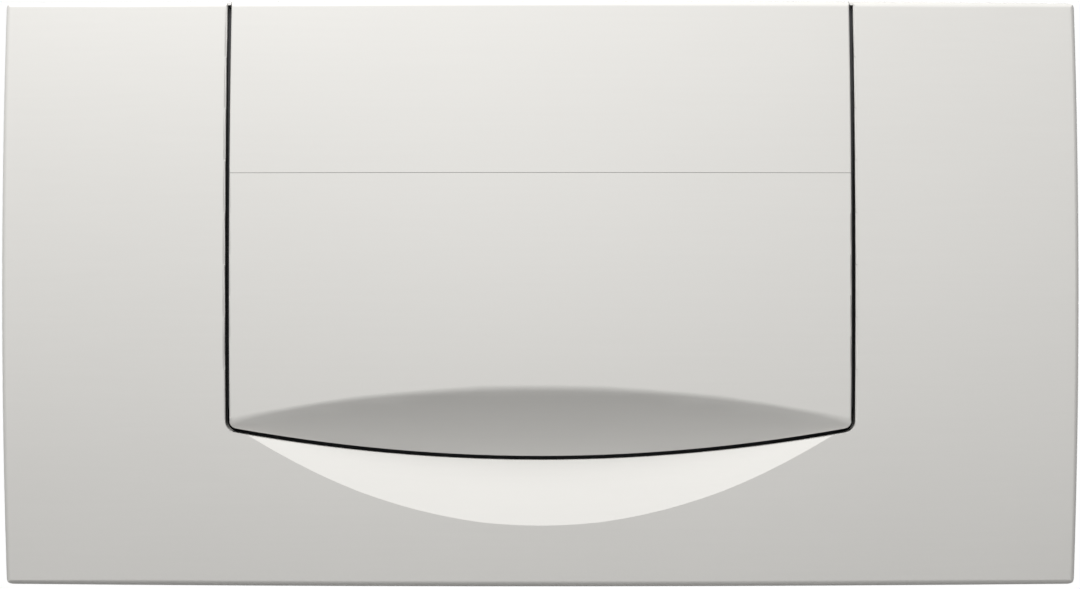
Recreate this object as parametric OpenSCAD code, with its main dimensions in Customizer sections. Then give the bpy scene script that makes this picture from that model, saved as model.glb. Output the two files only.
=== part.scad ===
// Flush plate for a concealed cistern: a crowned cover with one wide push flap.
// X runs to the right, Z up and -Y towards the user. The finished wall is the plane y = 0,
// and the origin is midway between the two fixing bolts.

/* [Cover plate] */
// Width of the cover plate
plate_w = 340; // [330:1:350]
// Height of the cover plate
plate_h = 185; // [180:1:190]
// Radius of the plate's four corners, seen from the front
corner_r = 3; // [2:0.5:5]
// Height of the middle of the face above the wall
face_depth = 16; // [15.5:0.5:17]
// How far the face falls away from its middle to the top and bottom edges
crown_rise = 4; // [3:0.5:4.5]
// How far the face falls away from its middle to the left and right ends
bow_rise = 4; // [3:0.5:4.5]
// Wall thickness of the visible mouldings
wall_t = 2.2; // [2:0.1:2.4]
// Radius of the rounded outer edge
edge_r = 2.4; // [1.6:0.1:2.6]
// Height above the wall at which the inner return walls end
return_y = 10; // [9.8:0.1:10.4]

/* [Slot round the panels] */
// Distance from the middle to the centre of each upright slot
slot_half = 98.1; // [96:0.1:99]
// Width of the slot
slot_gap = 1.3; // [1:0.1:1.4]
// Radius of the slot's lower corners
slot_corner_r = 3; // [2.5:0.5:5]
// Radius of the rounded edges beside the slot
slot_edge_r = 0.6; // [0.4:0.1:1]
// Radius of the curved lower slot
grip_r = 492; // [450:1:540]
// Depth of the curved slot's lowest point below the middle
grip_drop = 52.4; // [51:0.2:53]

/* [Finger grip] */
// Depth below the middle at which the flap starts to curve inwards
cove_drop = 29.4; // [28:0.2:31]
// Depth below the middle of the lowest point of the scoop
scoop_drop = 72.8; // [71:0.2:75]
// Height above the wall of the floor of the grip, at the slot
lip_y = 5.8; // [5.4:0.1:6.4]
// How hollow the flap's cove is: 1 is a straight slope
cove_hollow = 1.35; // [1:0.05:1.5]
// Radius of the rounded edge between face and cove
cove_edge_r = 9; // [4:0.5:10]

/* [Header panel] */
// Height of the joint between header panel and flap above the middle
joint_z = 37.8; // [37:0.2:40]
// Gap in the joint between header panel and flap
joint_gap = 0.12; // [0.1:0.02:0.4]
// Thickness of the flap's lip over the header panel's tongue
lip_t = 0.8; // [0.6:0.1:1]
// Height of the header panel's tongue
tongue_h = 2.2; // [1.5:0.1:2.5]
// Distance from the plate's top edge to the header panel's two clips
clip_inset = 20.5; // [19:0.5:21]
// Distance from the middle to each clip
clip_x = 60; // [50:1:70]

/* [Hinge] */
// Height of the hinge axis above the middle
hinge_z = 33; // [32:0.25:34]
// Height of the hinge axis above the wall
hinge_y = 6.2; // [6:0.1:6.4]
// Radius of the hinge pins
pin_r = 1.5; // [1.2:0.1:1.6]
// Radial play of a pin in the flap's ear
pin_play = 0.06; // [0.04:0.01:0.1]
// Width of each ear
ear_w = 5; // [4:0.5:6]

/* [Inner frame] */
// Width of the side rails
rail_w = 5.6; // [5:0.1:5.8]
// Distance from a side rail to the frame screws beside it
screw_offset = 5.45; // [5:0.05:7]
// Distance from the plate's top and bottom edges to the frame screws
screw_inset = 9.5; // [9:0.25:9.5]
// Height above the wall of the seats for the frame screws
screw_seat_y = 5.6; // [5.4:0.1:6]

/* [Mounting frame] */
// Distance from the fixing bolts to the mounting frame's side edges
mount_margin = 32; // [25:1:40]
// Distance from the plate's top and bottom edges to the mounting frame's
mount_inset = 14.5; // [14.5:0.5:18]
// Thickness of its flange
flange_t = 3; // [2.5:0.1:3.2]
// Distance from a side rail to the fixing bolt beside it
bolt_offset = 11.45; // [11:0.05:13]
// Radius of the fixing bolts behind the wall
bolt_r = 3; // [2.8:0.1:3.5]
// Radius of their necks, which take the clamp nuts
neck_r = 2.6; // [2.2:0.1:2.7]
// How far the fixing bolts reach behind the wall
bolt_reach = 55; // [45:1:70]
// Radius of the clamp nuts
nut_r = 9; // [8:0.5:9.5]
// Thickness of the clamp nuts
nut_t = 5; // [4:0.25:5.5]

/* [Push rods] */
// Distance from the middle to each push rod
rod_x = 35; // [30:1:45]
// Depth of the push rods below the middle
rod_drop = 22; // [20:0.5:24]
// Radius of the push rods
rod_r = 3; // [2.8:0.1:3.2]
// Radius of the rods' heads and of the flap's push pads
head_r = 5; // [4.5:0.1:5.2]
// How far the rod tips reach behind the wall
rod_reach = 46; // [42:1:60]
// Depth of the spring cups behind the wall
cup_depth = 18; // [17:0.5:20]
// Radius of the spring wire
wire_r = 0.45; // [0.35:0.05:0.5]
// Turns of each return spring
spring_turns = 7; // [6:1:8]

/* [Hidden] */

$fn = 48;
far = 60;             // reaches past any solid of the plate
seat = 0.3;           // clearance between pieces that only rest on each other
half_w = plate_w / 2;
half_h = plate_h / 2;
crown_r = (crown_rise * crown_rise + half_h * half_h) / (2 * crown_rise);
crown_steps = 16;
bow_r = (bow_rise * bow_rise + half_w * half_w) / (2 * bow_rise);
bow_axis_y = bow_r - face_depth;   // the upright axis of the face's sweep from side to side
bow_steps = 9;
arc_steps = 28;
corner_steps = 6;
edge_steps = 8;

opening_half = slot_half + slot_gap / 2;
panel_half = slot_half - slot_gap / 2;
slot_centre_z = grip_r - grip_drop;
flap_top = joint_z - joint_gap / 2;
header_bottom = joint_z + joint_gap / 2;

skirt_lap_y = 4;      // height of the rear edge of the header panel's top wall
slot_end = 1.4;       // distance from the plate's top edge to the slot's upper end
slot_end_gap = 0.15;
rib_t = 1.4;
rib_y = return_y - 0.5;
rim_t = 1.5;          // height of the rib round the mounting frame's flange

// Places that follow from the named sizes
rail_x0 = slot_half + slot_gap / 2 + wall_t + seat - 0.2;
rail_x1 = rail_x0 + rail_w;
rail_y = flange_t + rim_t + seat;
bolt_x = rail_x1 + bolt_offset;
screw_x = rail_x1 + screw_offset;
screw_z = half_h - screw_inset;
clip_z = half_h - clip_inset;
mount_w = 2 * (bolt_x + mount_margin);
mount_h = plate_h - 2 * mount_inset;
window_top = joint_z + 19;
window_bottom = -grip_drop - 10.5;

// Height of the face above the wall at height z, less an inset
function face_y(z, inset = 0) = -face_depth + inset + crown_r - sqrt(crown_r * crown_r - z * z);

// How far the face lies behind its middle at a distance x to the side
function bow(x) = bow_r - sqrt(bow_r * bow_r - x * x);

function arc(cx, cy, r, a0, a1, n) =
    [for (i = [0:n]) let (a = a0 + (a1 - a0) * i / n) [cx + r * cos(a), cy + r * sin(a)]];

// Outline of the panels inside the slot, moved outwards from the slot's centre line
function slot_outline(out, top) =
    let (hw = slot_half + out,
         big = grip_r + out,
         rc = max(slot_corner_r + out, 0.5),
         cx = hw - rc,
         cz = slot_centre_z - sqrt((big - rc) * (big - rc) - cx * cx),
         turn = atan2(cz - slot_centre_z, cx))
    concat([[hw, top]],
           arc(cx, cz, rc, 0, turn, corner_steps),
           arc(0, slot_centre_z, big, turn, -180 - turn, arc_steps),
           arc(-cx, cz, rc, -180 - turn, -180, corner_steps),
           [[-hw, top]]);

// Height of the slot's lower corner, where its upright side ends
slot_corner_z = slot_centre_z - sqrt(pow(grip_r - slot_corner_r, 2) - pow(slot_half - slot_corner_r, 2));

// Side view of the plate: the crown, with rounded top and bottom edges
function plate_side(inset, half, r, back) =
    let (z = half - r,
         y = -face_depth + inset + crown_r - sqrt(pow(crown_r - r, 2) - z * z),
         tilt = asin(z / (crown_r - r)),
         reach = crown_r * sin(tilt))
    concat([[back, -half]],
           arc(y, -z, r, 270, 180 + tilt, edge_steps),
           [for (i = [1:crown_steps - 1]) let (h = -reach + 2 * reach * i / crown_steps) [face_y(h, inset), h]],
           arc(y, z, r, 180 - tilt, 90, edge_steps),
           [[back, half]]);

// Side view of what lies behind the face, between two heights
function crown_side(inset, z0, z1, back) =
    concat([[back, z0]],
           [for (i = [0:crown_steps]) let (h = z0 + (z1 - z0) * i / crown_steps) [face_y(h, inset), h]],
           [[back, z1]]);

module along_x(x0, x1) translate([x0, 0, 0]) rotate([90, 0, 90]) linear_extrude(x1 - x0) children();
module along_y(y0, y1) translate([0, y1, 0]) rotate([90, 0, 0]) linear_extrude(y1 - y0) children();
module rod_y(x, z, r, y0, y1) translate([x, y0, z]) rotate([-90, 0, 0]) cylinder(r = r, h = y1 - y0);
module rod_x(y, z, r, x0, x1) translate([x0, y, z]) rotate([0, 90, 0]) cylinder(r = r, h = x1 - x0);
module slab(x0, x1, y0, y1, z0, z1) translate([x0, y0, z0]) cube([x1 - x0, y1 - y0, z1 - z0]);
module both_sides() {
    children();
    mirror([1, 0, 0]) children();
}
module side_of(side) {
    if (side > 0) children();
    else mirror([1, 0, 0]) children();
}

module rounded_rectangle(w, h, r) {
    square([w - 2 * r, h], center = true);
    square([w, h - 2 * r], center = true);
    for (sx = [-1, 1], sz = [-1, 1])
        translate([sx * (w / 2 - r), sz * (h / 2 - r)]) circle(r);
}

// Sweeps a side view from side to side about the upright axis far behind the plate
module sweep_across(side_view) {
    step = 2 * asin(half_w / bow_r) / bow_steps;
    intersection_for(i = [0:bow_steps - 1])
        translate([0, bow_axis_y, 0])
            rotate([0, 0, (i - (bow_steps - 1) / 2) * step])
                translate([0, -bow_axis_y, 0])
                    along_x(-plate_w, plate_w) polygon(side_view);
}

// Everything behind the face, out to just past the plate's edges
module behind_face(inset) sweep_across(crown_side(inset, -half_h - 5, half_h + 5, far));

// Rounds the face's edge at x, on the side that dir points to
module edge_cutter(x, r, dir, z0, z1) {
    a0 = asin(z0 / crown_r);
    a1 = asin(z1 / crown_r);
    translate([0, crown_r - face_depth + bow(x - dir * r) - 0.01, 0])
        rotate([0, 90, 0])
            rotate([0, 0, 270 - a1])
                rotate_extrude(angle = a1 - a0, $fn = 360)
                    difference() {
                        translate([crown_r - r, x + (dir > 0 ? -r : -1)]) square([r + 1, r + 1]);
                        translate([crown_r - r, x - dir * r]) circle(r, $fn = 32);
                    }
}

// The hollow of the flap's cove at a distance s below its top, along the middle of the flap
cove_h = grip_drop - cove_drop;
cove_depth = -lip_y - face_y(cove_drop);
function cove(s) = cove_depth * (cove_hollow * s / cove_h - (cove_hollow - 1) * s * s / (cove_h * cove_h));

// Radius about an upright axis in front of the plate that brings a surface out to the face at the slot's corner
function reach_radius(sink) = let (s = sink - bow(slot_half)) (slot_half * slot_half - s * s) / (2 * s);
corner_z = -slot_corner_z;
cove_r = reach_radius(cove(corner_z - cove_drop) + face_y(cove_drop) - face_y(corner_z));

// Cuts the flap's cove, or its inner side when grown
module cove_cutter(grow) {
    steps = 10;
    deep = cove_h * 1.3;
    half_angle = asin((slot_half + 12) / cove_r);
    translate([0, face_y(cove_drop) - cove_r, 0])
        rotate([0, 0, 90 - half_angle])
            rotate_extrude(angle = 2 * half_angle, $fn = 360)
                polygon(concat(
                    [[cove_r - far, -cove_drop + 12], [cove_r - 12 * cove(1) + grow, -cove_drop + 12]],
                    [for (i = [0:steps]) let (s = deep * i / steps) [cove_r + cove(s) + grow, -cove_drop - s]],
                    [[cove_r - far, -cove_drop - deep]]));
}

// Slope that softens the edge between face and cove: the arc's tangent at half its turn
cove_turn = atan(cove_depth * cove_hollow / cove_h) - atan(cove_drop / crown_r);
module cove_edge_cutter(turn) {
    ahead = cove_edge_r * (tan(cove_turn / 2) - tan(turn / 2));
    low = corner_z - cove_drop + 3;
    slope = tan(turn) + cove_drop / crown_r;
    start = ahead * tan(turn);
    r = reach_radius(tan(turn) * (corner_z - cove_drop));
    half_angle = asin((slot_half + 12) / r);
    translate([0, face_y(cove_drop) - r, 0])
        rotate([0, 0, 90 - half_angle])
            rotate_extrude(angle = 2 * half_angle, $fn = 720)
                polygon([[r - far, -cove_drop + 12],
                         [r + start - 12 * slope, -cove_drop + 12],
                         [r + start + low * slope, -cove_drop - low],
                         [r - far, -cove_drop - low]]);
}

// The scoop below the slot rises in a straight slope from the slot to the face
scoop_h = scoop_drop - grip_drop;
scoop_slope = (-lip_y - face_y(scoop_drop)) / scoop_h;
scoop_r = reach_radius(scoop_slope * (scoop_drop - corner_z) + face_y(scoop_drop) - face_y(corner_z));

module scoop_cutter(grow) {
    high = scoop_drop - corner_z + grow;
    low = 4;
    half_angle = asin((slot_half + 12) / scoop_r);
    translate([0, face_y(scoop_drop) - scoop_r, 0])
        rotate([0, 0, 90 - half_angle])
            rotate_extrude(angle = 2 * half_angle, $fn = 360)
                polygon([[scoop_r - far, -scoop_drop - low],
                         [scoop_r - low * scoop_slope + grow, -scoop_drop - low],
                         [scoop_r + high * scoop_slope + grow, -scoop_drop + high],
                         [scoop_r - far, -scoop_drop + high]]);
}

// Cover shell: face, skirt, return walls round the opening, ribs and screw bosses
module cover_solid() {
    intersection() {
        sweep_across(plate_side(0, half_h, edge_r, 20));
        along_y(-far, 0) rounded_rectangle(plate_w, plate_h, corner_r);
    }
}

module behind_cover_skin() {
    difference() {
        behind_face(wall_t);
        scoop_cutter(wall_t);
    }
}

rib_xs = [bolt_x + nut_r - 1, half_w - 22];
rib_zs = [-half_h / 2, 0, half_h / 2];

module cover_ribs() {
    intersection() {
        union() {
            both_sides() {
                for (x = rib_xs) slab(x - rib_t / 2, x + rib_t / 2, -far, -rib_y, -half_h + 1, half_h - 1);
                for (z = rib_zs)
                    slab(rail_x1 + seat, half_w - 1, -far, -rib_y, z - rib_t / 2, z + rib_t / 2);
                for (z = [-screw_z, screw_z]) rod_y(screw_x, z, 3.6, -far, -screw_seat_y);
            }
            slab(-opening_half, opening_half, -far, -rib_y, -scoop_drop - 6 - rib_t, -scoop_drop - 6);
        }
        behind_face(wall_t - 0.4);
    }
}

module cover_shell() {
    color("gainsboro")
        difference() {
            union() {
                difference() {
                    cover_solid();
                    // inside of the skirt and of the face
                    difference() {
                        intersection() {
                            behind_cover_skin();
                            along_y(-far, 1) rounded_rectangle(plate_w - 2 * wall_t, plate_h - 2 * wall_t, corner_r - 1);
                        }
                        along_y(-far, -return_y) polygon(slot_outline(slot_gap / 2 + wall_t - 0.2, half_h - 1));
                    }
                    scoop_cutter(0);
                    both_sides() edge_cutter(half_w, edge_r, 1, -half_h, half_h);
                    both_sides() edge_cutter(opening_half, slot_edge_r, -1, slot_corner_z, half_h);
                }
                cover_ribs();
            }
            // opening for the two panels, with the skirt left whole behind the header panel
            along_y(-far, 1) polygon(slot_outline(slot_gap / 2, half_h - 6));
            along_y(-far, -skirt_lap_y + seat) polygon(slot_outline(slot_gap / 2, half_h - slot_end));
            slab(-panel_half - slot_end_gap, panel_half + slot_end_gap, -far, -skirt_lap_y + seat, 0, half_h + 1);
            both_sides()
                for (z = [-screw_z, screw_z]) rod_y(screw_x, z, screw_r, -screw_seat_y - screw_l - 0.3, 1);
        }
}

// Header panel: the fixed upper panel between the slots, with a tongue behind the flap's lip
module header_panel() {
    color("gainsboro") {
        difference() {
            intersection() {
                sweep_across(plate_side(0, half_h, edge_r, 20));
                slab(-panel_half, panel_half, -far, -skirt_lap_y, header_bottom, half_h + 1);
            }
            intersection() {
                behind_face(wall_t);
                slab(-panel_half + wall_t - 0.2, panel_half - wall_t + 0.2, -far, 0,
                    header_bottom + wall_t, half_h - wall_t);
            }
            intersection() {
                behind_face(wall_t);
                slab(-half_w, half_w, -return_y, 0, 0, half_h - wall_t);
            }
            both_sides() edge_cutter(panel_half, slot_edge_r, 1, joint_z - 5, half_h);
        }
        // tongue
        intersection() {
            behind_face(lip_t + seat);
            slab(-panel_half + 3, panel_half - 3, -far, -return_y, header_bottom - tongue_h, header_bottom + 1);
        }
        // clips that snap over the inner frame's top member
        both_sides() header_clip();
    }
}

clip_w = 12;
member_y0 = 10;       // front of the inner frame's cross members, above the wall
member_y1 = 6;        // back of the cross members
member_half = 8;      // half the height of the top member
clip_t = 1.6;

module header_clip() {
    top = clip_z + member_half;
    intersection() {
        behind_face(wall_t - 0.4);
        union() {
            for (s = [-1, 1])
                translate([0, 0, clip_z]) mirror([0, 0, s < 0 ? 1 : 0])
                    along_x(clip_x - clip_w / 2, clip_x + clip_w / 2)
                        polygon([[-far, member_half + seat], [-far, member_half + seat + clip_t],
                                 [-member_y1 + 1.6, member_half + seat + clip_t],
                                 [-member_y1 + 1.6, member_half + seat],
                                 [-member_y1 + seat, member_half - 0.8],
                                 [-member_y1 + seat, member_half + seat]]);
        }
    }
}

// Inner frame: the dark frame screwed behind the cover, which carries the hinge and backs the slots
frame_top = half_h - 8;
frame_bottom = -half_h + 7;
member_h = 8;         // height of the lower cross member
lug_x = panel_half - 3;
lug_front = 8.6;
backing_front = return_y - seat;
backing_t = 1.5;
backing_x = panel_half + seat;
tab_z = -32;
tab_half = 4;
bumper_t = 1.5;

module rail() {
    slab(rail_x0, rail_x1, -far, -rail_y, frame_bottom, frame_top);
    slab(backing_x, rail_x1, -backing_front, -backing_front + backing_t, slot_corner_z + 4, half_h - wall_t - seat);
    slab(backing_x, rail_x1, -backing_front + backing_t - 0.2, -member_y1, clip_z - member_half, half_h - wall_t - seat);
    // lug for the hinge pin
    difference() {
        slab(lug_x, rail_x1, -lug_front, -rail_y + 0.2, hinge_z - 4, hinge_z + 4);
        rod_x(-hinge_y, hinge_z, pin_r, lug_x - 1, rail_x1 + 1);
    }
    // screw tabs
    for (z = [-screw_z, screw_z])
        difference() {
            union() {
                slab(rail_x0, screw_x, -screw_seat_y, -screw_seat_y + tab_t, z - 4.5, z + 4.5);
                rod_y(screw_x, z, 4.5, -screw_seat_y, -screw_seat_y + tab_t);
            }
            rod_y(screw_x, z, screw_r + 0.3, -screw_seat_y - 1, 0);
        }
    // snap hooks for the mounting frame
    for (z = hook_zs) snap_hook(z);
}

hook_zs = [window_bottom + 18, window_top - 43, window_top - 7];
hook_w = 10;
window_half = rail_x1 + 0.6;   // half the width of the mounting frame's window
barb = 1.4;

module snap_hook(z) {
    along_hook = [[rail_x1 - 2, -rail_y - 2], [rail_x1, -rail_y - 2], [rail_x1, seat],
                  [rail_x1 + barb, seat + 0.6], [rail_x1, seat + 2.4], [rail_x1 - 2, seat + 2.4]];
    translate([0, 0, z - hook_w / 2]) linear_extrude(hook_w) polygon(along_hook);
}

screw_r = 1.1;
screw_l = 3.6;        // length of thread in the cover's boss
tab_t = 2.4;

module inner_frame() {
    color([0.13, 0.13, 0.14])
        intersection() {
            union() {
                difference() {
                    both_sides() rail();
                    both_sides() rod_x(-hinge_y, hinge_z, pin_r, lug_x - 1, rail_x1 + 1);
                }
                // cross members above and below
                slab(-rail_x1, rail_x1, -member_y0, -member_y1, clip_z - member_half, clip_z + member_half);
                slab(-rail_x1, rail_x1, -member_y0 + 1, -member_y1 + 1, frame_bottom, frame_bottom + member_h);
            }
            difference() {
                behind_face(wall_t + seat);
                scoop_cutter(wall_t + seat);
            }
        }
}

module frame_screws() {
    color("silver")
        both_sides()
            for (z = [-screw_z, screw_z])
                difference() {
                    union() {
                        rod_y(screw_x, z, screw_r, -screw_seat_y - screw_l, -screw_seat_y + tab_t);
                        rod_y(screw_x, z, 2.8, -screw_seat_y + tab_t, -screw_seat_y + tab_t + 1.6);
                    }
                    slab(screw_x - 1.7, screw_x + 1.7, -screw_seat_y + tab_t + 0.8, 0, z - 0.3, z + 0.3);
                    slab(screw_x - 0.3, screw_x + 0.3, -screw_seat_y + tab_t + 0.8, 0, z - 1.7, z + 1.7);
                }
}

module hinge_pin(side) {
    color("silver")
        side_of(side)
            rod_x(-hinge_y, hinge_z, pin_r, lug_x - 0.5 - ear_w - 1, rail_x1 - 1);
}

module bumper(side) {
    color([0.08, 0.08, 0.08])
        side_of(side)
            slab(backing_x + 0.3, rail_x0 - 0.5, -backing_front + backing_t, -backing_front + backing_t + bumper_t,
                tab_z - tab_half + 0.5, tab_z + tab_half - 0.5);
}

// Flap: crowned skin with a cove at its foot, flanges, ribs, hinge ears, stop tabs and push pads
module behind_flap_skin() {
    difference() {
        behind_face(wall_t);
        cove_cutter(wall_t);
    }
}

flap_rib_x = 66;
pad_y = 9;            // height above the wall of the push pads' noses
tab_front = backing_front - backing_t - bumper_t - seat;
ear_x1 = lug_x - 0.5;

module flap_skin() {
    difference() {
        intersection() {
            along_y(-far, -1) polygon(slot_outline(-slot_gap / 2, flap_top));
            behind_face(0);
        }
        intersection() {
            behind_flap_skin();
            along_y(-far, 0) polygon(slot_outline(-slot_gap / 2 - wall_t + 0.2, flap_top - wall_t));
        }
        intersection() {
            behind_flap_skin();
            along_y(-return_y, 0) square([2 * half_w, 2 * half_h], center = true);
        }
        cove_cutter(0);
        cove_edge_cutter(cove_turn / 2);
        both_sides() edge_cutter(panel_half, slot_edge_r, 1, slot_corner_z, joint_z + 5);
        // rebate for the header panel's tongue
        intersection() {
            behind_face(lip_t);
            slab(-half_w, half_w, -far, 0, flap_top - tongue_h - seat, flap_top + 1);
        }
    }
}

module flap_ear() {
    along_x(ear_x1 - ear_w, ear_x1)
        difference() {
            union() {
                translate([-hinge_y, hinge_z]) circle(pin_r + 1.7);
                polygon([[-far, hinge_z - 9], [-far, hinge_z + 1], [-hinge_y - 2, hinge_z + pin_r + 1.2],
                         [-hinge_y + 1, hinge_z - pin_r - 1.4], [-hinge_y - 2, hinge_z - pin_r - 2.2]]);
            }
            translate([-hinge_y, hinge_z]) circle(pin_r + pin_play);
        }
}

module flap_ribs() {
    stiff_y = return_y + 0.4;
    for (x = [-flap_rib_x, 0, flap_rib_x]) slab(x - rib_t / 2, x + rib_t / 2, -far, -stiff_y, -cove_drop - 6, flap_top - 4);
    for (z = [8, -14]) slab(-panel_half + 1, panel_half - 1, -far, -stiff_y, z - rib_t / 2, z + rib_t / 2);
    both_sides() {
        flap_ear();
        // push pad with a rounded nose
        rod_y(rod_x, -rod_drop, head_r, -far, -pad_y - 1.5);
        rod_x(-pad_y - 2, -rod_drop, 2, rod_x - 4, rod_x + 4);
        // stop tab, which rests behind the bumper
        slab(ear_x1 - ear_w, ear_x1, -far, -tab_front + 2, tab_z - tab_half, tab_z + tab_half);
        slab(ear_x1 - ear_w, rail_x0 - 0.5, -tab_front, -tab_front + 2, tab_z - tab_half, tab_z + tab_half);
    }
}

module flush_flap() {
    color("gainsboro") {
        flap_skin();
        intersection() {
            difference() {
                behind_face(wall_t - 0.3);
                cove_cutter(wall_t - 0.3);
            }
            flap_ribs();
        }
    }
}

// Mounting frame: flange on the wall, tray that closes the wall opening, two spring cups and slots for the bolts
cup_r = 8;
cup_bore_r = 5.6;
cup_floor = 3;
cup_front = 1;
window_z = (window_top + window_bottom) / 2;
window_h = window_top - window_bottom;
tray_t = 1.5;
tray_depth = 14;
tray_half = window_half + 1.7;
tray_rib_zs = [window_bottom + 12, 8, joint_z - 8];
tray_rib_x = 70;

module mounting_frame() {
    color([0.16, 0.17, 0.18])
        difference() {
            union() {
                difference() {
                    union() {
                        along_y(-flange_t, 0) rounded_rectangle(mount_w, mount_h, 8);
                        along_y(-1, tray_depth)
                            translate([0, window_z]) rounded_rectangle(2 * (tray_half + tray_t), window_h + 2 * tray_t, 4);
                    }
                    along_y(-far, 1) translate([0, window_z]) rounded_rectangle(2 * window_half, window_h, 2.5);
                    along_y(0, tray_depth - tray_t) translate([0, window_z]) rounded_rectangle(2 * tray_half, window_h, 2.5);
                }
                for (x = [-rod_x, rod_x]) rod_y(x, -rod_drop, cup_r, -cup_front, cup_depth);
                // ribs on the back of the tray
                for (z = tray_rib_zs)
                    slab(-tray_half, tray_half, tray_depth - 0.5, tray_depth + 2, z - rib_t / 2, z + rib_t / 2);
                for (x = [-tray_rib_x, 0, tray_rib_x])
                    slab(x - rib_t / 2, x + rib_t / 2, tray_depth - 0.5, tray_depth + 2, window_bottom, window_top);
                // stiffening rib round the flange
                difference() {
                    along_y(-flange_t - rim_t, -flange_t + 0.5) rounded_rectangle(mount_w - 4, mount_h - 4, 6);
                    along_y(-far, far) rounded_rectangle(mount_w - 8, mount_h - 8, 4);
                }
            }
            for (x = [-rod_x, rod_x]) {
                rod_y(x, -rod_drop, cup_bore_r, -far, cup_depth - cup_floor);
                rod_y(x, -rod_drop, rod_r + 0.05, -far, far);
            }
            both_sides() bolt_slot();
        }
}

slot_run = 8;         // how far a fixing bolt can be shifted in its slot
module bolt_slot() {
    hull_r = bolt_r + 0.3;
    along_y(-far, far) {
        translate([bolt_x - slot_run / 2, 0]) circle(hull_r);
        translate([bolt_x + slot_run / 2, 0]) circle(hull_r);
        translate([bolt_x, 0]) square([slot_run, 2 * hull_r], center = true);
    }
}

module fixing_bolt(side) {
    color("slategray")
        side_of(side) {
            rod_y(bolt_x, 0, neck_r, -flange_t - nut_t - 0.5, 1);
            rod_y(bolt_x, 0, bolt_r, 0, bolt_reach - 1.5);
            translate([bolt_x, bolt_reach - 1.5, 0]) rotate([-90, 0, 0])
                cylinder(r1 = bolt_r, r2 = bolt_r - 1, h = 1.5);
        }
}

// Knurled clamp nut with a collar that bears on the flange
module clamp_nut(side) {
    grips = 10;
    color("cornflowerblue")
        side_of(side)
            translate([bolt_x, -flange_t, 0])
                rotate([90, 0, 0])
                    difference() {
                        union() {
                            cylinder(r = nut_r - 1.5, h = 1.2);
                            translate([0, 0, 1]) cylinder(r = nut_r, h = nut_t - 1);
                        }
                        for (i = [0:grips - 1])
                            rotate([0, 0, i * 360 / grips]) translate([nut_r + 0.6, 0, 1]) cylinder(r = 1.6, h = nut_t);
                        translate([0, 0, -1]) cylinder(r = neck_r, h = nut_t + 2);
                    }
}

// Push rod: head, shank, snap collar behind the cup and a bore for the screwed tip
head_front = pad_y - seat;
head_t = 2.5;
rod_end = rod_reach - 16;
tip_stud_r = 1.9;

module push_rod(side) {
    color("whitesmoke")
        side_of(side)
            difference() {
                union() {
                    rod_y(rod_x, -rod_drop, head_r, -head_front, -head_front + head_t);
                    rod_y(rod_x, -rod_drop, rod_r, -head_front, rod_end);
                    rod_y(rod_x, -rod_drop, rod_r + 0.5, cup_depth + seat, cup_depth + seat + 1.2);
                }
                rod_y(rod_x, -rod_drop, tip_stud_r, rod_end - 12, rod_end + 1);
            }
}

module rod_tip(side) {
    ball = rod_r;
    color("slategray")
        side_of(side) {
            rod_y(rod_x, -rod_drop, tip_stud_r, rod_end - 10, rod_end + 0.5);
            rod_y(rod_x, -rod_drop, rod_r + 1, rod_end, rod_end + 3);
            rod_y(rod_x, -rod_drop, rod_r, rod_end, rod_reach - ball);
            translate([rod_x, rod_reach - ball, -rod_drop]) sphere(ball);
        }
}

// Return spring: a helix swept from the cup's floor to the back of the rod's head
spring_r = 4.35;
spring_sides = 6;
spring_facets = 16;
spring_y0 = -head_front + head_t + wire_r;
spring_y1 = cup_depth - cup_floor - wire_r;

module return_spring(side) {
    rings = spring_turns * spring_facets;
    // closed ends: the pitch is one wire thick in the first and last turn
    flat = 1 / spring_turns;
    lead = 2.1 * wire_r;
    function rise(t) =
        t < flat ? lead * t / flat :
        t > 1 - flat ? (spring_y1 - spring_y0) - lead * (1 - t) / flat :
        lead + (spring_y1 - spring_y0 - 2 * lead) * (t - flat) / (1 - 2 * flat);
    points = [for (i = [0:rings], j = [0:spring_sides - 1])
        let (t = i / rings,
             a = 360 * spring_turns * t,
             b = 360 * j / spring_sides,
             r = spring_r + wire_r * cos(b))
        [r * cos(a), spring_y0 + rise(t) + wire_r * sin(b), r * sin(a)]];
    skin = [for (i = [0:rings - 1], j = [0:spring_sides - 1])
        let (k = (j + 1) % spring_sides, p = i * spring_sides)
        [p + j, p + spring_sides + j, p + spring_sides + k, p + k]];
    first = [[for (j = [0:spring_sides - 1]) j]];
    last = [[for (j = [spring_sides - 1:-1:0]) rings * spring_sides + j]];
    color("silver")
        side_of(side)
            translate([rod_x, 0, -rod_drop]) polyhedron(points, concat(skin, first, last));
}

cover_shell();
header_panel();
inner_frame();
frame_screws();
hinge_pin(-1);  // hinge_pin_left
hinge_pin(1);  // hinge_pin_right
bumper(-1);  // bumper_left
bumper(1);  // bumper_right
mounting_frame();
fixing_bolt(-1);  // fixing_bolt_left
fixing_bolt(1);  // fixing_bolt_right
clamp_nut(-1);  // clamp_nut_left
clamp_nut(1);  // clamp_nut_right
return_spring(-1);  // return_spring_left
return_spring(1);  // return_spring_right
flush_flap();
push_rod(-1);  // push_rod_left
push_rod(1);  // push_rod_right
rod_tip(-1);  // rod_tip_left
rod_tip(1);  // rod_tip_right
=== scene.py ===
# %% [markdown]
# # A flush plate with a wide push flap
# This notebook dresses a flush plate, the cover of a cistern that is built into
# a wall. Its shape comes finished from a CAD model, with every moulding as a node
# of its own. The work here is on its looks: rounded edges that catch the light,
# satin plastic, dark hidden parts, and a quiet studio.

import math

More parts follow.
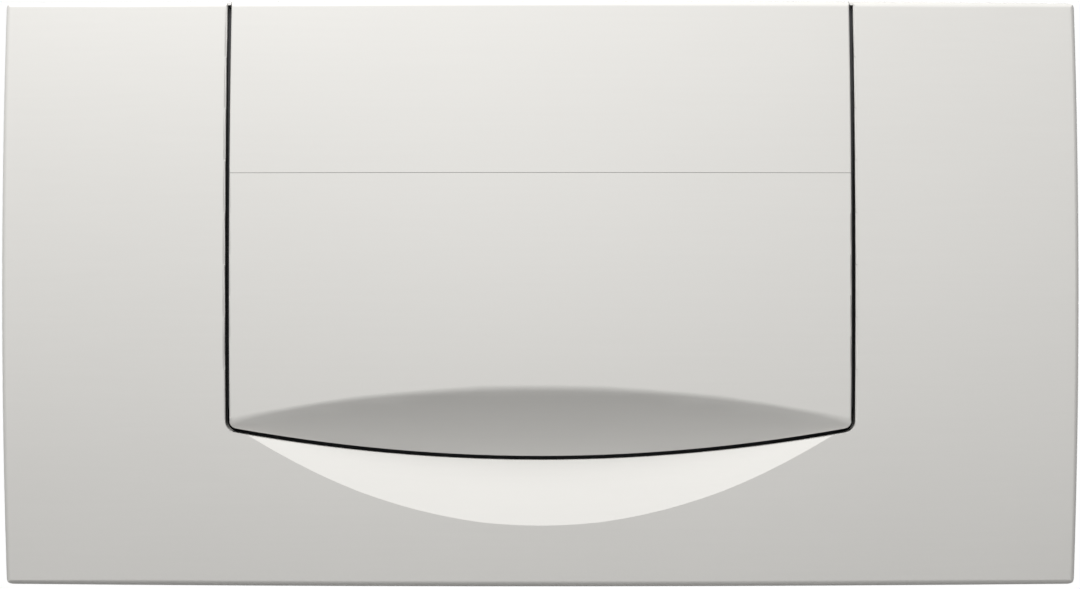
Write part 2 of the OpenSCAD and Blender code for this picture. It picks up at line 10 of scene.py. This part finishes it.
import bmesh
import bpy
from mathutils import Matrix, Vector


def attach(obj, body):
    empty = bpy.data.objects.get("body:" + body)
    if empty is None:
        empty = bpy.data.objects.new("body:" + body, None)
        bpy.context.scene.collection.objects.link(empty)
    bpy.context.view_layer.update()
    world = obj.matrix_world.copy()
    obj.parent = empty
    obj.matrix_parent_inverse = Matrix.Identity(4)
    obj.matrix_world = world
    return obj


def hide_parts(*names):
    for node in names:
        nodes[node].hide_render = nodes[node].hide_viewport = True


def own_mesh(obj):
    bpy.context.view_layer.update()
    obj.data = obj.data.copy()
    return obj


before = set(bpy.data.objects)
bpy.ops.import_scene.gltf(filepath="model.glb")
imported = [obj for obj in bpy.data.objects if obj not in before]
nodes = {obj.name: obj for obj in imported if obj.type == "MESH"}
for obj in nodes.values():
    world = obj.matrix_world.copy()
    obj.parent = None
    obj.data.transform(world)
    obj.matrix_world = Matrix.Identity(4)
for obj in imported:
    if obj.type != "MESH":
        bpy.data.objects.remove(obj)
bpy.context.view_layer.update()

# %% [markdown]
# ## Writing node graphs as sums
# Materials and shape changes are both graphs of small nodes. Wiring them one by
# one hides the idea behind the plumbing, so a small class stands for one output
# of a node and lets ordinary arithmetic add the Math nodes: `0.4 + 0.1 * mask`
# reads as what it does. Every other node comes from one method that sets its
# options first and then its inputs.

# %% A class that wraps one socket of a graph
class Wire:
    """One output of a node graph. Arithmetic on it adds Math nodes."""

    def __init__(self, graph, socket):
        self.graph = graph
        self.socket = socket

    def _math(self, operation, a, b):
        return self.graph.add("ShaderNodeMath", {"operation": operation}, {0: a, 1: b})

    def __add__(self, other): return self._math("ADD", self, other)
    def __radd__(self, other): return self._math("ADD", other, self)
    def __sub__(self, other): return self._math("SUBTRACT", self, other)
    def __rsub__(self, other): return self._math("SUBTRACT", other, self)
    def __mul__(self, other): return self._math("MULTIPLY", self, other)
    def __rmul__(self, other): return self._math("MULTIPLY", other, self)
    def __truediv__(self, other): return self._math("DIVIDE", self, other)
    def __rtruediv__(self, other): return self._math("DIVIDE", other, self)
    def __gt__(self, other): return self._math("GREATER_THAN", self, other)
    def __lt__(self, other): return self._math("LESS_THAN", self, other)


# %% A graph, and the one method that adds its nodes
class Graph:
    """A node tree under construction."""

    def __init__(self, tree):
        self.tree = tree

    def add(self, kind, settings=None, inputs=None, output=0):
        """Adds a node and returns one of its outputs, by name or place."""
        node = self.tree.nodes.new(kind)
        for name, value in (settings or {}).items():
            if name == "stops":
                for element, (place, colour) in zip(node.color_ramp.elements, value):
                    element.position, element.color = place, colour
            else:
                setattr(node, name, value)
        for name, value in (inputs or {}).items():
            if isinstance(value, Wire):
                self.tree.links.new(value.socket, node.inputs[name])
            else:
                node.inputs[name].default_value = value
        return Wire(self, node.outputs[output]) if len(node.outputs) else None

    def vector(self, x, y, z):
        return self.add("ShaderNodeCombineXYZ", {}, {"X": x, "Y": y, "Z": z})


# %% A material as a graph
class Finish(Graph):
    """A material under construction."""

    def __init__(self, name):
        self.material = bpy.data.materials.new(name)
        self.material.use_nodes = True
        super().__init__(self.material.node_tree)
        self.tree.nodes.clear()

    def place(self):
        """Where a point lies on the object, in metres."""
        return self.add("ShaderNodeTexCoord", output="Object")

    def noise(self, waves, detail, roughness, stretch=(1, 1, 1)):
        """Soft random values about 0.5, with so many waves to the metre."""
        where = self.add("ShaderNodeMapping", {}, {"Vector": self.place(), "Scale": stretch})
        return self.add("ShaderNodeTexNoise", {"noise_dimensions": "3D"},
                        {"Vector": where, "Scale": waves, "Detail": detail,
                         "Roughness": roughness})

    def blend(self, factor, low, high):
        """A colour between two colours."""
        return self.add("ShaderNodeMix", {"data_type": "RGBA"},
                        {0: factor, 6: low, 7: high}, output=2)

    def openness(self, reach):
        """1 on open faces, and down to 0 deep in slots narrower than `reach`."""
        return self.add("ShaderNodeAmbientOcclusion", {"samples": 12},
                        {"Distance": reach}, output="AO")

    def relief(self, height, depth, strength):
        """A normal tilted by a height map whose full range is `depth` metres."""
        return self.add("ShaderNodeBump", {},
                        {"Height": height, "Distance": depth, "Strength": strength})

    def finish(self, **inputs):
        """Ends the material with a Principled shader: `Base_Color` sets Base Color."""
        named = {name.replace("_", " "): value for name, value in inputs.items()}
        shader = self.add("ShaderNodeBsdfPrincipled", {}, named)
        self.add("ShaderNodeOutputMaterial", {}, {"Surface": shader})
        print("material:", self.material.name, len(self.tree.nodes), "nodes")
        return self.material


# %% Colours
def rgb(red, green, blue):
    return (red, green, blue, 1.0)


def shade(tint, share):
    """A tint made darker or lighter."""
    return rgb(*(min(value * share, 1) for value in tint))


# %% [markdown]
# ## The camera
# The photograph looks square at the plate from close by: the sides of the plate
# bow outwards because the middle of its crowned face is nearer to the lens. The
# distance follows from that bow, and the lens from how much of the frame it fills.

# %% Camera at the photograph's place
FRAME_W = 1080                # pixels from side to side of the photograph
SCALE_AT_RIM = 3.179          # pixels of the photograph to a millimetre, at the rim
SENSOR_W = 36.0               # millimetres
RIM_TO_CAMERA = 0.440         # metres, as all that follows
RIM_Y = -0.012
CAMERA_X, CAMERA_Z = -0.0001, -0.0003      # the plate isn't quite in the frame's middle


def put(name, data):
    """A new object in the scene, made of this data."""
    made = bpy.data.objects.new(name, data)
    bpy.context.scene.collection.objects.link(made)
    return made


camera_data = bpy.data.cameras.new("camera")
camera_data.sensor_width = SENSOR_W
camera_data.lens = SCALE_AT_RIM * 1000 * RIM_TO_CAMERA / FRAME_W * SENSOR_W
camera = put("camera", camera_data)
camera.location = (CAMERA_X, RIM_Y - RIM_TO_CAMERA, CAMERA_Z)
camera.rotation_euler = (math.radians(90), 0, 0)
bpy.context.scene.camera = camera
print("lens:", round(camera_data.lens, 2), "mm")

# %% [markdown]
# ## The satin plastic of the plate
# The plate is moulded in light silver-grey plastic with a satin finish. Seen
# close, such a surface isn't one flat colour: it has a very fine spark texture
# from the mould, a faint cloudiness, and a smooth skin that still gives soft
# reflections. Fine noise drives the relief, broad noise the tint and the sheen.
# The narrow slots round the panels are black to the eye, and that black is painted
# shade: an Ambient Occlusion node finds how open each point is, and the colour goes down to black
# where it is not.

# %% Satin silver-grey plastic, with painted shade in its slots
SATIN_TINT = (0.672, 0.661, 0.634)
# The slots' black is painted shade, not a colour of the plastic.
SLOT_PAINTED_SHADE = rgb(0.012, 0.012, 0.012)
SLOT_REACH = 0.006                         # metres
SLOT_SHUT, SLOT_OPEN = 0.25, 0.5           # openness that counts as none, and as full
SKIN_RELIEF = 0.00001                      # metres


def satin_plastic(name):
    look = Finish(name)
    cloud = look.noise(waves=13, detail=3.0, roughness=0.55)
    streak = look.noise(waves=800, detail=2.0, roughness=0.6, stretch=(0.02, 1, 1))
    spark = look.noise(waves=2600, detail=2.0, roughness=0.6)
    skin = look.blend(0.6 * cloud + 0.4 * streak, shade(SATIN_TINT, 0.97), shade(SATIN_TINT, 1.03))
    # Painted shade: the colour falls to black where little open air is found round a point.
    stops = [(SLOT_SHUT, rgb(0, 0, 0)), (SLOT_OPEN, rgb(1, 1, 1))]
    painted_shade_mask = look.add("ShaderNodeValToRGB", {"stops": stops}, {"Fac": look.openness(SLOT_REACH)})
    return look.finish(
        Base_Color=look.blend(painted_shade_mask, SLOT_PAINTED_SHADE, skin),
        Roughness=0.36 + 0.08 * cloud + 0.06 * streak + 0.04 * spark,
        IOR=1.5,
        Specular_IOR_Level=0.3,
        Normal=look.relief(spark + 0.5 * streak, depth=SKIN_RELIEF, strength=0.5),
    )


plate_plastic = satin_plastic("plate_plastic")
panel_plastic = satin_plastic("panel_plastic")
flap_plastic = satin_plastic("flap_plastic")

# %% [markdown]
# ## What lies behind
# The hidden mouldings are black and charcoal plastic, so that the slot round the
# panels reads as a dark line. Pins, screws and springs are steel, the nuts are a
# blue plastic that a fitter finds at once, and the push rods are off-white.

# %% Moulded plastic and rubber
GRAIN_RELIEF = 0.00003                     # metres


def moulded_plastic(name, tint, roughness, grain=900):
    """Plastic with a grain from its mould, so many grains to the metre."""
    look = Finish(name)
    grains = look.noise(waves=grain, detail=3.0, roughness=0.6)
    cloud = look.noise(waves=22, detail=2.0, roughness=0.5)
    return look.finish(
        Base_Color=look.blend(cloud, shade(tint, 0.88), shade(tint, 1.12)),
        Roughness=roughness + 0.14 * grains - 0.07,
        Normal=look.relief(grains, depth=GRAIN_RELIEF, strength=0.5),
    )


dark_plastic = moulded_plastic("dark_plastic", (0.02, 0.02, 0.022), 0.5)
frame_plastic = moulded_plastic("frame_plastic", (0.03, 0.032, 0.035), 0.55)
bolt_plastic = moulded_plastic("bolt_plastic", (0.14, 0.15, 0.17), 0.5)
nut_plastic = moulded_plastic("nut_plastic", (0.08, 0.17, 0.42), 0.4)
rod_plastic = moulded_plastic("rod_plastic", (0.7, 0.7, 0.68), 0.42)
buffer_rubber = moulded_plastic("buffer_rubber", (0.015, 0.015, 0.015), 0.8, grain=500)

# %% Drawn steel
DRAWN_RELIEF = 0.00001                     # metres


def drawn_steel(name, tint, roughness):
    """Steel with fine streaks along its length."""
    look = Finish(name)
    streak = look.noise(waves=700, detail=2.0, roughness=0.6, stretch=(0.15, 1, 1))
    return look.finish(
        Base_Color=look.blend(streak, shade(tint, 0.85), rgb(*tint)),
        Metallic=1.0,
        Roughness=roughness + 0.15 * streak,
        Normal=look.relief(streak, depth=DRAWN_RELIEF, strength=0.4),
    )


zinc_steel = drawn_steel("zinc_steel", (0.62, 0.62, 0.6), 0.3)
pin_steel = drawn_steel("pin_steel", (0.6, 0.6, 0.6), 0.22)
spring_steel = drawn_steel("spring_steel", (0.45, 0.45, 0.46), 0.3)

# %% [markdown]
# ## Smooth sweeps and crisp edges
# The CAD model arrives as triangles, cut apart along every face. Its crowned face
# is made of flat facets, and the rounding of an edge of a few narrow bands.
# Geometry Nodes joins the cut points again and marks an edge as sharp only where
# it turns by more than a quarter of a radian.

# %% A shape change as a graph
class Shape(Graph):
    """A Geometry Nodes tree under construction."""

    def __init__(self, name):
        super().__init__(bpy.data.node_groups.new(name, "GeometryNodeTree"))
        for side in ("INPUT", "OUTPUT"):
            self.tree.interface.new_socket("Geometry", in_out=side,
                                           socket_type="NodeSocketGeometry")
        self.shape = self.add("NodeGroupInput")

    def step(self, kind, settings=None, inputs=None):
        """Adds a node that changes the shape."""
        self.shape = self.add(kind, settings, {0: self.shape, **(inputs or {})})

    def done(self):
        self.add("NodeGroupOutput", {}, {0: self.shape})
        print("shape change:", self.tree.name, len(self.tree.nodes), "nodes")
        return self.tree


# %% Join points and mark sharp edges
SAME_POINT = 0.000002         # metres
SHARP_TURN = 0.27             # radians, 15.5 degrees

joined = Shape("join_points")
joined.step("GeometryNodeMergeByDistance", {}, {"Distance": SAME_POINT})
joined.step("GeometryNodeRemoveAttribute", {}, {"Name": "custom_normal"})
turn = joined.add("GeometryNodeInputMeshEdgeAngle", output="Unsigned Angle")
joined.step("GeometryNodeSetShadeSmooth", {"domain": "FACE"}, {"Shade Smooth": True})
joined.step("GeometryNodeSetShadeSmooth", {"domain": "EDGE"}, {"Shade Smooth": turn < SHARP_TURN})
join_points = joined.done()

# %% [markdown]
# The crown itself is known exactly: it falls away from its middle like a very
# flat bowl turned over, with one radius up and down and another from side to
# side. So its facets needn't guess their normals from their neighbours. Every
# corner on the crown gets the direction that the true bowl has at that place,
# and light runs over the face in one sweep.

# %% The two radii of the crown
PLATE_HALF_W, PLATE_HALF_H, CROWN_RISE = 0.170, 0.0925, 0.004
crown_r = (PLATE_HALF_H ** 2 + CROWN_RISE ** 2) / (2 * CROWN_RISE)      # up and down
bow_r = (PLATE_HALF_W ** 2 + CROWN_RISE ** 2) / (2 * CROWN_RISE)        # from side to side
print("radii of the crown:", round(crown_r, 3), "m and", round(bow_r, 3), "m")


# %% The true normals of the crown
def crown_direction(shape):
    """The outward normal of the crown at the place of a point."""
    place = shape.add("GeometryNodeInputPosition")
    x = shape.add("ShaderNodeSeparateXYZ", {}, {0: place}, output="X")
    z = shape.add("ShaderNodeSeparateXYZ", {}, {0: place}, output="Z")
    return shape.add("ShaderNodeVectorMath", {"operation": "NORMALIZE"},
                     {0: shape.vector(x / bow_r, -1.0, z / crown_r)})


def agreement(shape, a, b):
    """The cosine of the angle between two directions."""
    return shape.add("ShaderNodeVectorMath", {"operation": "DOT_PRODUCT"},
                     {0: a, 1: b}, output="Value")


FACET_TILT = math.radians(2.5)             # no facet leans further from the true crown

swept = Shape("crown_normals")
crown = crown_direction(swept)
facing = swept.add("GeometryNodeInputNormal", output="True Normal")
swept.step("GeometryNodeStoreNamedAttribute", {"data_type": "BOOLEAN", "domain": "FACE"},
           {"Name": "on_crown", "Value": agreement(swept, facing, crown) > math.cos(FACET_TILT)})
flagged = swept.add("GeometryNodeInputNamedAttribute", {"data_type": "BOOLEAN"},
                    {"Name": "on_crown"})
touches = swept.add("GeometryNodeFieldOnDomain", {"data_type": "BOOLEAN", "domain": "POINT"},
                    {0: flagged})
near = agreement(swept, facing, crown) > math.cos(SHARP_TURN)
chosen = swept.add("GeometryNodeSwitch", {"input_type": "VECTOR"},
                   {"Switch": near * touches, "False": swept.add("GeometryNodeInputNormal"),
                    "True": crown})
swept.step("GeometryNodeSetMeshNormal", {"mode": "FREE", "domain": "CORNER"},
           {"Custom Normal": chosen})
crown_normals = swept.done()

# %% [markdown]
# ## Rounded side edges
# A moulded plate has no razor edge: its left and right ends, and the header
# panel's edges along the slots, roll off in a small radius that shows as a thin
# dark or bright line. The STEP solids have these four edges square. A Bevel
# would trip over the crown's many facets, so a bar with a hollow inner side,
# bent along the crown, is cut away from a copy of the piece with a Boolean.
# The copy then stands for the CAD node.

# %% A bent bar with a hollow inner side
FACE_DEPTH = 0.016            # metres from the wall to the crown's highest point
ROUND_BANDS = 10
BAR_STEPS = 20
CLEAR = 0.001                 # how far the bar reaches past the piece
NUDGE = 0.00001               # keeps the bar's faces off the planes of the piece


def edge_bar(end_x, radius, low, high):
    """A bar that rounds the edge of the face at `end_x`, between two heights."""
    side, reach = math.copysign(1, end_x), abs(end_x) + NUDGE
    inward = reach - radius
    bends = [math.pi / 2 * i / ROUND_BANDS for i in range(ROUND_BANDS + 1)]
    section = [(reach - radius * (1 - math.sin(a)), crown_r - radius * (1 - math.cos(a)))
               for a in bends]
    section += [(reach + CLEAR, crown_r - radius), (reach + CLEAR, crown_r + CLEAR),
                (inward, crown_r + CLEAR)]
    axis_y = crown_r - FACE_DEPTH + bow_r - math.sqrt(bow_r ** 2 - inward ** 2) - NUDGE
    bar = bmesh.new()
    rows = []
    for i in range(BAR_STEPS + 1):
        angle = math.asin((low + (high - low) * i / BAR_STEPS) / crown_r)
        rows.append([bar.verts.new((side * x, axis_y - far * math.cos(angle),
                                    far * math.sin(angle))) for x, far in section])
    for first, second in zip(rows, rows[1:]):
        for j in range(len(section)):
            k = (j + 1) % len(section)
            bar.faces.new((first[j], first[k], second[k], second[j]))
    bar.faces.new(rows[0])
    bar.faces.new(rows[-1])
    bmesh.ops.recalc_face_normals(bar, faces=bar.faces)
    mesh = bpy.data.meshes.new("edge_bar")
    bar.to_mesh(mesh)
    bar.free()
    return put("edge_bar", mesh)


# %% Copies that stand for CAD nodes
stand_ins = {}


def evaluated(piece):
    """The piece with its modifiers worked out."""
    return piece.evaluated_get(bpy.context.evaluated_depsgraph_get())


def stand_in(piece, name):
    """Shows this piece in place of a CAD node of the plate."""
    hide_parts(name)
    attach(piece, "plate")
    stand_ins[name] = piece


def roll_edges(name, end_x, radius, low, high):
    """Shows a copy of a node with its left and right edges rolled."""
    piece = put(name + "_rolled", nodes[name].data.copy())
    piece.modifiers.new("join", "NODES").node_group = join_points
    bars = [edge_bar(side * end_x, radius, low, high) for side in (-1, 1)]
    for bar in bars:
        cut = piece.modifiers.new("roll", "BOOLEAN")
        cut.operation, cut.solver, cut.object = "DIFFERENCE", "EXACT", bar
    piece.data = bpy.data.meshes.new_from_object(evaluated(piece))
    piece.modifiers.clear()
    for bar in bars:
        bpy.data.objects.remove(bar)
    stand_in(piece, name)
    print(piece.name, len(piece.data.polygons), "faces")


# %% Roll the plate's ends and the header panel's sides
PANEL_HALF_W, HEADER_FOOT = 0.09745, 0.03786
COVER_ROUND, HEADER_ROUND = 0.0024, 0.0006
roll_edges("cover_shell", PLATE_HALF_W, COVER_ROUND,
           -PLATE_HALF_H - CLEAR, PLATE_HALF_H + CLEAR)
roll_edges("header_panel", PANEL_HALF_W, HEADER_ROUND,
           HEADER_FOOT - CLEAR, PLATE_HALF_H + CLEAR)

# %% [markdown]
# ## Return springs
# Each spring sits between the head of a push rod and its cup, and is pressed
# shorter when the flap goes in. A copy of the coil, with a mesh of its own,
# stands for the CAD node.


def pressed_spring(side):
    """Shows a copy of a return spring in place of its CAD node."""
    name = "return_spring_" + side
    coil = put(name + "_coil", nodes[name].data.copy())
    stand_in(coil, name)
    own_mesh(coil)


pressed_spring("left")
pressed_spring("right")

# %% [markdown]
# ## Every piece gets its finish
# The CAD nodes keep their meshes. Each piece, be it a node or the copy that
# stands for it, gets its material and the modifiers that shade it.

# %% Finishes by node
FINISH_OF = {
    "cover_shell": plate_plastic, "header_panel": panel_plastic, "flush_flap": flap_plastic,
    "inner_frame": dark_plastic, "mounting_frame": frame_plastic, "frame_screws": zinc_steel,
    "hinge_pin_left": pin_steel, "hinge_pin_right": pin_steel,
    "bumper_left": buffer_rubber, "bumper_right": buffer_rubber,
    "fixing_bolt_left": bolt_plastic, "fixing_bolt_right": bolt_plastic,
    "clamp_nut_left": nut_plastic, "clamp_nut_right": nut_plastic,
    "return_spring_left": spring_steel, "return_spring_right": spring_steel,
    "push_rod_left": rod_plastic, "push_rod_right": rod_plastic,
    "rod_tip_left": bolt_plastic, "rod_tip_right": bolt_plastic,
}
CROWNED = ("cover_shell", "header_panel", "flush_flap")

for name, material in FINISH_OF.items():
    piece = stand_ins.get(name, nodes[name])
    for slot in piece.material_slots:
        slot.material = material
    piece.modifiers.new("join", "NODES").node_group = join_points
    if name in CROWNED:
        piece.modifiers.new("crown", "NODES").node_group = crown_normals
    print(piece.name, len(piece.data.vertices), "points, joined to",
          len(evaluated(piece).data.vertices))

# %% [markdown]
# ## The studio
# The photograph has a plain white ground and soft light from above and a little
# to the left. The upper slopes of the face are bright, the foot is greyer, and
# what looks down is dark. A wide panel close overhead gives that run from bright
# to grey, and two weak ones in front and to the right lift the rest. Two more
# stand behind, so that the back can be seen too. They don't reach the face.

# %% A pale floor
# Rays that leave a piece to gather bounced light find a darker floor, because
# the light from below would flatten the moulding. Camera and gloss see it pale.
FLOOR_HALF, FLOOR_Z = 0.9, -0.30
PALE, BOUNCED = rgb(0.8, 0.8, 0.8), rgb(0.12, 0.12, 0.12)

floor_look = Finish("pale_floor")
gathering = floor_look.add("ShaderNodeLightPath", output="Is Diffuse Ray")
floor_look.finish(Base_Color=floor_look.blend(gathering, PALE, BOUNCED), Roughness=0.9)

floor_mesh = bpy.data.meshes.new("floor")
floor_mesh.from_pydata([(x * FLOOR_HALF, y * FLOOR_HALF, FLOOR_Z)
                        for x, y in ((-1, -1), (1, -1), (1, 1), (-1, 1))], [], [(0, 1, 2, 3)])
floor_mesh.materials.append(floor_look.material)
put("floor", floor_mesh)

# %% A white background and a faint light from all round
# Camera, gloss and glass see plain white. What gathers light finds far less.
AMBIENT, WHITE = 0.015, 1.0

world = bpy.data.worlds.new("studio")
world.use_nodes = True
world.node_tree.nodes.clear()
bpy.context.scene.world = world
sky = Graph(world.node_tree)
glow = [sky.add("ShaderNodeBackground", {}, {"Color": rgb(1, 1, 1), "Strength": strength})
        for strength in (AMBIENT, WHITE)]
seen = sky.add("ShaderNodeLightPath", output="Is Camera Ray")
for kind in ("Is Glossy Ray", "Is Transmission Ray"):
    ray = sky.add("ShaderNodeLightPath", output=kind)
    seen = sky.add("ShaderNodeMath", {"operation": "MAXIMUM"}, {0: seen, 1: ray})
sky.add("ShaderNodeOutputWorld", {},
        {"Surface": sky.add("ShaderNodeMixShader", {}, {0: seen, 1: glow[0], 2: glow[1]})})
print("world:", len(world.node_tree.nodes), "nodes")

# %% Lamps that look at the plate's middle
LAMPS = {
    # place and size in metres, power in watts
    "overhead": ((-0.22, -0.40, 0.80), (0.5, 0.4), 11.0),
    "front_fill": ((0, -1.49, 0.21), (0.6, 0.6), 6.6),
    "low_fill": ((0.95, -1.20, -0.10), (0.6, 0.6), 3.2),
    "back": ((0.45, 1.30, 0.30), (0.8, 0.8), 9.0),
    "back_low": ((-0.70, 1.10, -0.10), (0.6, 0.6), 4.0),
}

for name, (place, (width, height), power) in LAMPS.items():
    data = bpy.data.lights.new(name, "AREA")
    data.shape = "RECTANGLE"
    data.size, data.size_y, data.energy = width, height, power
    lamp = put(name, data)
    lamp.location = place
    lamp.rotation_mode = "QUATERNION"
    lamp.rotation_quaternion = (Vector((0, 0, 0)) - Vector(place)).to_track_quat("-Z", "Y")
    print("lamp:", name, power, "W,", round(Vector(place).length, 2), "m away")
bpy.context.scene.view_settings.view_transform = "Standard"
